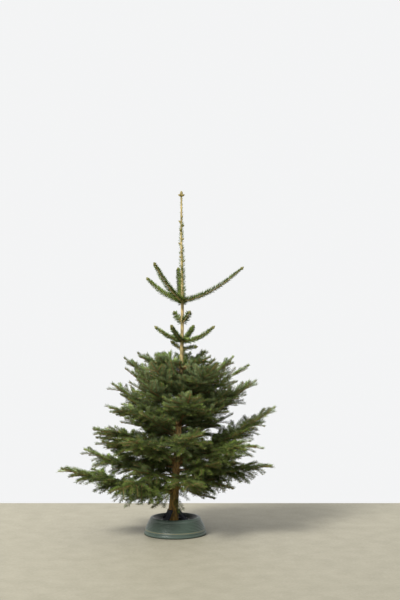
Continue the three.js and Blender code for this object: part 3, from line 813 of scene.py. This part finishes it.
# Twigs of every order under the boughs, the younger ones paler, each a tapering tube on its own curve
def makeTwigPiece():
    look = dict(woody=(0.165, 0.100, 0.032), young=(0.160, 0.115, 0.040), sides={2: 5, 3: 3, 4: 3})
    parts, kinds = [], []
    for order, sides in look["sides"].items():
        own = chosen(shoots, shoots["order"] == order)
        which = np.repeat(np.arange(len(own["a"])), sides)
        u = np.tile(np.linspace(0, 1, sides), len(own["a"]))
        parts.append(tubesOn(own, which, u, radiusOn(own, which, u), sides))
        kinds.append(np.full(len(parts[-1][1]), 0 if order == 2 else 1))
    points, faces = joinedMesh(parts)
    materials = [plainMaterial("twigBark", look["woody"], 0.75),
                 plainMaterial("youngTwigBark", look["young"], 0.7)]
    meshPiece("twigs", points, faces, materials, np.concatenate(kinds), smooth=True)
    return len(faces)


print("twig faces:", makeTwigPiece())


# Buds: pointed eggs, radius = fat sin(pi (0.22 + 0.78 s))^0.8 at a share s of the length
def eggs(root, way, length, fat, sides=5, rings=4):
    s = np.linspace(0, 1, rings)
    side = unit(np.cross(way, np.where(np.abs(way[:, 2:]) > 0.95, np.array([1.0, 0, 0]), up)))
    top = np.cross(side, way)
    middles = root[:, None] + way[:, None] * s[None, :, None] * length[:, None, None]
    radii = fat[:, None] * np.maximum(np.sin(math.pi * (0.22 + 0.78 * s)) ** 0.8, 0.05)
    side, top = [np.broadcast_to(way[:, None], middles.shape) for way in (side, top)]
    return tubes(middles, side, top, radii, sides)


# Buds at the ends of shoots, one on each, with around smaller ones beside it that lean out by spread
def endBuds(own, length, fat, around, spread, sides, rings):
    beside = dict(size=0.85, back=0.004, turn=0.5)
    which = np.arange(len(own["a"]))
    end = np.ones(len(which))
    along, across, above, _ = directionsOn(own, which, end)
    tip = placeOn(own, which, end)
    parts = [eggs(tip, along, length * end, fat * end, sides, rings)]
    for k in range(around):
        turn = 2 * math.pi * k / around + beside["turn"]
        way = unit(along + spread * (across * math.cos(turn) + above * math.sin(turn)))
        root = tip - beside["back"] * along
        parts.append(eggs(root, way, beside["size"] * length * end, beside["size"] * fat * end, sides, rings))
    return joinedMesh(parts)


# Buds out from the sides of a few long shoots, at the golden turn
def sideBuds(own, gap, length, fat):
    count = np.floor(own["length"] / gap).astype(int)
    which, k = shareOut(count)
    u = 1 - (k + 0.9) / (count[which] + 1)
    along, across, above, _ = directionsOn(own, which, u)
    way = unit(along * 0.8 + between(across, above, np.radians(k * goldenTurn)))
    ones = np.ones(len(which))
    return eggs(placeOn(own, which, u) + way * 0.003, way, length * ones, fat * ones)


# End buds are given as length, fat, around, spread, sides and rings
def makeBuds():
    look = dict(crown=(0.0190, 0.0072, 4, 1.1, 6, 5), crownSides=(0.038, 0.0085, 0.0036),
                bough=(0.0095, 0.0036, 3, 0.75, 5, 4), twig=(0.0085, 0.0032, 1, 0.9, 4, 3),
                fine=(0.0075, 0.0028, 0, 0.75, 3, 2))
    colours = dict(crownBuds=(0.110, 0.105, 0.022), buds=(0.140, 0.085, 0.022),
                   smallBuds=(0.095, 0.080, 0.020))
    inSkirt, order = shoots["whorl"] >= skirt, shoots["order"]
    crown = chosen(shoots, ~inSkirt)
    parts = [
        endBuds(crown, *look["crown"]),
        sideBuds(crown, *look["crownSides"]),
        endBuds(chosen(shoots, inSkirt & (order == 1)), *look["bough"]),
        endBuds(chosen(shoots, inSkirt & (order == 2)), *look["twig"]),
        endBuds(chosen(shoots, inSkirt & (order > 2)), *look["fine"]),
    ]
    kinds = np.concatenate([np.full(len(part[1]), kind) for part, kind in zip(parts, (0, 0, 1, 1, 2))])
    points, faces = joinedMesh(parts)
    materials = [plainMaterial(name, colour, 0.5) for name, colour in colours.items()]
    meshPiece("buds", points, faces, materials, kinds, smooth=True)
    return len(faces)


print("bud faces:", makeBuds())


# Bark: the colour changes up the tree from foot on, as rises say, darkened in patches, with green on
# some, and a fine bump
def barkMaterial(name, look):
    material = newMaterial(name)
    place = addNode(material, "ShaderNodeTexCoord").outputs["Object"]
    height = addNode(material, "ShaderNodeSeparateXYZ", Vector=place).outputs["Z"]
    coarse = noiseOver(material, place, 80, 5, (1, 1, 0.4))
    fine = noiseOver(material, place, 420, 3)
    moss = noiseOver(material, place, 16, 3)
    colour = look["foot"]
    for start, end, above in look["rises"]:
        colour = mixed(material, ranged(material, height, start, end, 0, 1), colour, above)
    colour = mixed(material, ranged(material, coarse, 0.40, 0.62, 0, 0.9), colour, look["patch"], "MULTIPLY")
    colour = mixed(material, ranged(material, moss, 0.48, 0.68, 0, look["mossy"]), colour, look["moss"])
    rough = ranged(material, fine, 0.3, 0.7, 0.65, 0.95)
    bump = addNode(material, "ShaderNodeBump", Strength=0.35, Distance=0.0008, Height=fine)
    return finish(material, colour, rough, bump=bump)


trunkBark = barkMaterial("trunkBark", dict(
    foot=(0.225, 0.130, 0.020),
    # The bright middle stretch, from 0.30 m to 0.60 m, is painted light: far paler than the bark, to lift the
    # shade the boughs cast on the trunk there
    rises=((0.30, 0.60, (0.780, 0.490, 0.190)), (0.75, 1.00, (0.400, 0.300, 0.125))),
    patch=(0.30, 0.29, 0.25), moss=(0.085, 0.080, 0.015), mossy=0.5))
boughBark = barkMaterial("boughBark", dict(
    foot=(0.240, 0.140, 0.040), rises=((0.85, 1.45, (0.440, 0.320, 0.130)),),
    patch=(0.50, 0.45, 0.40), moss=(0.080, 0.085, 0.025), mossy=0.4))


# The trunk: the frame's radius with a bell-shaped collar at each whorl, and relief in the bark. The
# relief is plates drawn out upward, blisters where a round noise is high, and grain, all shares of the
# radius
def makeTrunk():
    look = dict(plates=0.020, blisters=0.060, blisterOver=0.25, grain=0.012,
                budUnder=(0.022, 0.014, 0.006, 0.001), budRadii=(1.8, 1.65, 0.95, 0.25))
    rings = int((treeTop - trunk["budNeck"] - treeFoot) / trunk["step"])
    z = np.linspace(treeFoot, treeTop - trunk["budNeck"], rings)
    radius = trunkRadius(z)
    for whorl in whorls:
        swell = trunk["collarSwell"] * (trunk["spurCollar"] if whorl["name"].endswith("spur") else 1.0)
        radius = radius * (1 + swell * np.exp(-((z - whorl["height"]) / trunk["collarReach"]) ** 2))
    turn = ringTurns(trunk["around"])
    wall = np.broadcast_arrays(radius[:, None] * np.cos(turn), radius[:, None] * np.sin(turn), z[:, None])
    wall = np.stack(wall, -1)
    plates = softNoise(wall * np.array([170, 170, 60]), 3)
    blisters = np.maximum(softNoise(wall * np.array([240, 240, 190]), 5) - look["blisterOver"], 0)
    grain = softNoise(wall * np.array([520, 520, 240]), 7)
    relief = 1 + look["plates"] * plates + look["blisters"] * blisters + look["grain"] * grain
    budRadii = trunk["tipRadius"] * np.array(look["budRadii"])
    middles = trunkMiddle(np.concatenate([z, treeTop - np.array(look["budUnder"])]))
    budRings = np.broadcast_to(budRadii[:, None], (len(budRadii), trunk["around"]))
    radii = np.concatenate([radius[:, None] * relief, budRings])
    across = np.broadcast_to(np.array([1.0, 0, 0]), middles.shape)
    above = np.broadcast_to(np.array([0, 1.0, 0]), middles.shape)
    points, faces = tubes(middles[None], across[None], above[None], radii[None], trunk["around"])
    piece = meshPiece("trunk_with_bark", points, faces, [trunkBark], smooth=True)
    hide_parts("trunk")
    return len(faces)


print("trunk faces:", makeTrunk())


# Boughs: round limbs with a flared root inside the trunk's collar, wavy by noise along them
def makeBoughBark():
    look = dict(steps=64, sides=12, startIn=0.4, slimming=0.8, flare=0.45, flareLength=0.030,
                relief=0.06, grain=0.04)
    count = len(stems["a"])
    which = np.repeat(np.arange(count), look["steps"] + 1)
    start = look["startIn"] * trunkRadius(stems["a"][:, 2]) / stems["length"]
    u = start[which] + (1 - start[which]) * np.tile(np.linspace(0, 1, look["steps"] + 1), count)
    _, across, above, _ = directionsOn(stems, which, u)
    out = u * stems["length"][which] - trunkRadius(stems["a"][which, 2])
    flare = 1 + look["flare"] * np.exp(-np.maximum(out, 0) / look["flareLength"])
    radii = radiusOn(stems, which, u ** look["slimming"]) * flare
    ring = between(across[:, None], above[:, None], ringTurns(look["sides"]))
    skin = placeOn(stems, which, u)[:, None] + ring * radii[:, None, None]
    uneven = look["relief"] * softNoise(skin * 160, 9) + look["grain"] * softNoise(skin * 420, 10)
    points, faces = tubesOn(stems, which, u, radii[:, None] * (1 + uneven), look["sides"])
    piece = meshPiece("boughs_with_bark", points, faces, [boughBark], smooth=True)
    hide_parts(*[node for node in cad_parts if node.startswith("bough_")])
    return len(faces)


print("bough faces:", makeBoughBark())


# The leader and the stem under it: needles that lean out from the stem, dense low down and sparse above,
# side buds at the golden turn, and a ring of them under the top bud
def makeLeader():
    look = dict(stretches=(1.40, 1.62, 1.90, 2.06), shares=(0, 0.55, 0.93, 1),
                lengths=(0.022, 0.020, 0.016, 0.009), leans=(52, 52, 40, 24), needles=950, sunk=0.9,
                width=0.0026, thick=0.0008, widest=0.6, curl=0.0, roll=1.2)
    bud = dict(first=0.238, last=0.510, count=11, length=0.0200, fat=0.0062, rise=0.6, sunk=0.6, ring=5,
               ringUnder=0.036, ringLength=0.0230, ringTurn=20, topUnder=0.022, topLength=0.021,
               topFat=0.0090)
    luck = np.random.default_rng(21).random((look["needles"], 5))
    z = np.interp(luck[:, 0], look["shares"], look["stretches"])
    turn = 2 * math.pi * luck[:, 1]
    radial = np.stack([np.cos(turn), np.sin(turn), 0 * turn], 1)
    lean = np.radians(np.interp(z, look["stretches"], look["leans"]) * (0.6 + 0.8 * luck[:, 2]))
    way = between(up, radial, lean)
    flat = turnedAbout(way, squareTo(way, radial), look["roll"] * (luck[:, 3] * 2 - 1))
    base = trunkMiddle(z) + radial * trunkRadius(z)[:, None] * look["sunk"]
    size = (np.interp(z, look["stretches"], look["lengths"]) * (0.8 + 0.4 * luck[:, 4]))[:, None]
    points, faces = blades(base, way, flat, size, look)
    materials = [needleMaterials["fresh"], needleMaterials["grown"]]
    meshPiece("leader_needles", points, faces, materials, np.tile([0, 0, 1, 1], len(z)))
    k = np.arange(bud["count"])
    height = trunk["topWhorl"] + bud["first"] + k * (bud["last"] - bud["first"]) / (bud["count"] - 1)
    height = np.concatenate([height, np.full(bud["ring"], treeTop - bud["ringUnder"])])
    inRing = bud["ringTurn"] + 360 / bud["ring"] * np.arange(bud["ring"])
    turn = np.radians(np.concatenate([k * goldenTurn, inRing]))
    way = unit(np.stack([np.cos(turn), np.sin(turn), np.full(len(turn), bud["rise"])], 1))
    root = trunkMiddle(height) + way * trunkRadius(height)[:, None] * bud["sunk"]
    length = np.where(np.arange(len(turn)) < bud["count"], bud["length"], bud["ringLength"])
    top = trunkMiddle(np.array([treeTop - bud["topUnder"]]))
    points, faces = joinedMesh([
        eggs(root, way, length, bud["fat"] * np.ones(len(turn)), 6, 5),
        eggs(top, up[None], np.array([bud["topLength"]]), np.array([bud["topFat"]]), 8, 6)])
    material = plainMaterial("leaderBuds", (0.165, 0.130, 0.030), 0.5)
    meshPiece("leader_buds", points, faces, [material], smooth=True)


makeLeader()
print("leader done")


# Moulded plastic: one colour with a soft mottle, fine level scratches in its gloss, and a slight bump
def plasticMaterial(name, look):
    material = newMaterial(name)
    place = addNode(material, "ShaderNodeTexCoord").outputs["Object"]
    broad = noiseOver(material, place, 9, 3)
    dusty = noiseOver(material, place, 60, 4, (1, 1, 6))
    colour = mixed(material, ranged(material, broad, 0.3, 0.7, 0, 1), look["colour"], look["worn"])
    rough = ranged(material, dusty, 0.3, 0.7, look["roughness"] - 0.06, look["roughness"] + 0.08)
    bump = addNode(material, "ShaderNodeBump", Strength=0.15, Distance=0.0004, Height=dusty)
    return finish(material, colour, rough, look.get("specular", 0.5), bump)


# A closed profile of (radius, height) turned round Z, as a grid of profile point by angle; the profile runs
# with the material on its left
def turned(name, profile, materials, bandOf, segments=144):
    turn = ringTurns(segments)
    count = len(profile)
    x = profile[:, :1] * np.cos(turn)
    y = profile[:, :1] * np.sin(turn)
    z = np.broadcast_to(profile[:, 1:], x.shape)
    points = np.stack([x, y, z], -1).reshape(-1, 3)
    i, j = np.meshgrid(np.arange(count), np.arange(segments), indexing="ij")
    nextRow = (i + 1) % count
    nextTurn = (j + 1) % segments
    faces = np.stack([i * segments + j, i * segments + nextTurn, nextRow * segments + nextTurn,
                      nextRow * segments + j], -1).reshape(-1, 4)
    return meshPiece(name, points, faces, materials, np.repeat(bandOf, segments), smooth=True)


# Points along an arc from one to another corner, bulging to the left of the way by a share of its length
def arc(start, end, bulge, steps=8):
    start, end = np.array(start), np.array(end)
    t = np.linspace(0, 1, steps + 1)[:, None]
    side = np.array([-(end - start)[1], (end - start)[0]])
    return start + (end - start) * t + side * bulge * 4 * t * (1 - t)


# The stand's shell: up the outside with shallow level ribs and a thin line of another colour near its
# foot, over the shoulder, down the dish to the ledge and the cup, and back underneath. The dish is
# darker, painted shade over some dirt, and a ring round the foot is as dark
def makeStandShell():
    look = dict(ribs=7, ribsFrom=0.18, ribDepth=0.0022, crown=0.0025, lineHeight=0.031, lineWidth=0.0018,
                ringOutside=0.189, ringUnder=0.004, cupPoints=9,
                green=(0.043, 0.065, 0.049), worn=(0.050, 0.073, 0.056), line=(0.160, 0.140, 0.056),
                dish=(0.012, 0.017, 0.012), dishWorn=(0.020, 0.026, 0.019))
    low, high = np.array([0.1875, 0.022]), np.array([0.1565, 0.090])
    t = np.linspace(0, 1, 85)[:, None]
    out = unit(np.array([[high[1] - low[1], low[0] - high[0]]]))
    ribbed = np.clip((t - look["ribsFrom"]) / (1 - look["ribsFrom"]), 0, 1)
    ripple = np.sin(math.pi * look["ribs"] * ribbed) ** 2
    wall = low + (high - low) * t + out * (look["crown"] * 4 * t * (1 - t) - look["ribDepth"] * ripple)
    sections = [
        [(0.190, 0.000), (0.1902, 0.005), (0.190, 0.013), (0.1885, 0.0155), (0.1862, 0.017),
         (0.1860, 0.0195)],
        wall,
        arc((0.1565, 0.090), (0.139, 0.105), -0.22)[1:],
        arc((0.139, 0.105), (0.112, 0.089), -0.06)[1:],
        arc((0.112, 0.089), (0.094, 0.077), 0.03)[1:],
        [(0.0935, 0.0762), (0.092, 0.076), (0.0755, 0.076), (0.0742, 0.0755), (0.0736, 0.074),
         (0.0722, 0.010), (0.0715, 0.0085), (0.070, 0.008), (0.0005, 0.008), (0.0005, 0.0), (0.077, 0.0),
         (0.079, 0.071), (0.095, 0.071), (0.115, 0.084), (0.139, 0.0995), (0.147, 0.0885), (0.182, 0.020),
         (0.185, 0.0)],
    ]
    profile = np.concatenate([np.array(section) for section in sections])
    middle = (profile + np.roll(profile, -1, axis=0)) / 2
    starts = np.cumsum([len(section) for section in sections])
    at = np.arange(len(profile))
    inDish = (at >= starts[2]) & (at < starts[4] + look["cupPoints"])
    footRing = (middle[:, 0] > look["ringOutside"]) & (middle[:, 1] < look["ringUnder"])
    line = (at < starts[1]) & (np.abs(middle[:, 1] - look["lineHeight"]) < look["lineWidth"] / 2)
    bandOf = np.where(inDish | footRing, 2, line).astype(int)
    materials = [
        plasticMaterial("standGreen", dict(
            colour=look["green"], worn=look["worn"], roughness=0.36, specular=0.45)),
        plainMaterial("standLine", look["line"], 0.45),
        # The dish's dark colours are painted shade over some dirt on the same green plastic; the foot ring
        # shares them
        plasticMaterial("standDish", dict(colour=look["dish"], worn=look["dishWorn"], roughness=0.5)),
    ]
    piece = turned("stand_shell_moulded", profile, materials, bandOf)
    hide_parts("stand_shell")


makeStandShell()
clampBlack = plasticMaterial("clampBlack", dict(
    colour=(0.010, 0.012, 0.018), worn=(0.016, 0.018, 0.026), roughness=0.5, specular=0.3))
for name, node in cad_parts.items():
    if name.startswith("stand_c"):
        node.data.materials.clear()
        node.data.materials.append(clampBlack)
print("stand done")


# The floor's paint: worn in patches by noise, and darkened towards the front by a straight ramp along Y, a
# painted shade
def floorMaterial():
    look = dict(colour=(0.278, 0.256, 0.191), worn=(0.242, 0.223, 0.163), roughness=0.6,
                paintedShade=(0.80, 0.80, 0.79), paintedShadeAt=-1.6, fullAt=0.6)
    material = plasticMaterial("floorPaint", look)
    paint = material.node_tree.nodes["Principled BSDF"].inputs["Base Color"]
    place = addNode(material, "ShaderNodeTexCoord").outputs["Object"]
    depth = addNode(material, "ShaderNodeSeparateXYZ", Vector=place).outputs["Y"]
    # Painted shade: the floor's colour darkens towards the front along this ramp
    shadeRamp = ranged(material, depth, look["paintedShadeAt"], look["fullAt"], 1, 0)
    paintedShade = mixed(material, shadeRamp, paint.links[0].from_socket, look["paintedShade"], "MULTIPLY")
    material.node_tree.links.new(paintedShade, paint)
    return material


# A plain pale floor that ends behind the tree, a near-white surround, and soft light from the front left
def makeStudio():
    look = dict(halfWidth=6.0, near=-9.0, far=1.10, sky=(0.90, 0.905, 0.91), aim=(0, 0, 0.9), lampSize=4.0)
    lamps = dict(key=((-6.8, -7.9, 9.6), 3600), fill=((6.0, -7.0, 4.0), 50))
    mesh = bpy.data.meshes.new("floor")
    corners = [(-look["halfWidth"], look["near"], 0), (look["halfWidth"], look["near"], 0),
               (look["halfWidth"], look["far"], 0), (-look["halfWidth"], look["far"], 0)]
    mesh.from_pydata(corners, [], [(0, 1, 2, 3)])
    mesh.materials.append(floorMaterial())
    floor = addObject("floor", mesh)
    world = bpy.data.worlds.new("studio")
    world.use_nodes = True
    world.node_tree.nodes["Background"].inputs[0].default_value = (*look["sky"], 1)
    scene.world = world
    scene.view_settings.view_transform = "Standard"
    for name, (place, power) in lamps.items():
        lamp = addObject(name, bpy.data.lights.new(name, "AREA"))
        lamp.data.energy = power
        lamp.data.size = look["lampSize"]
        lamp.location = place
        lamp.rotation_euler = (Vector(look["aim"]) - Vector(place)).to_track_quat("-Z", "Y").to_euler()


makeStudio()
print("studio lit")
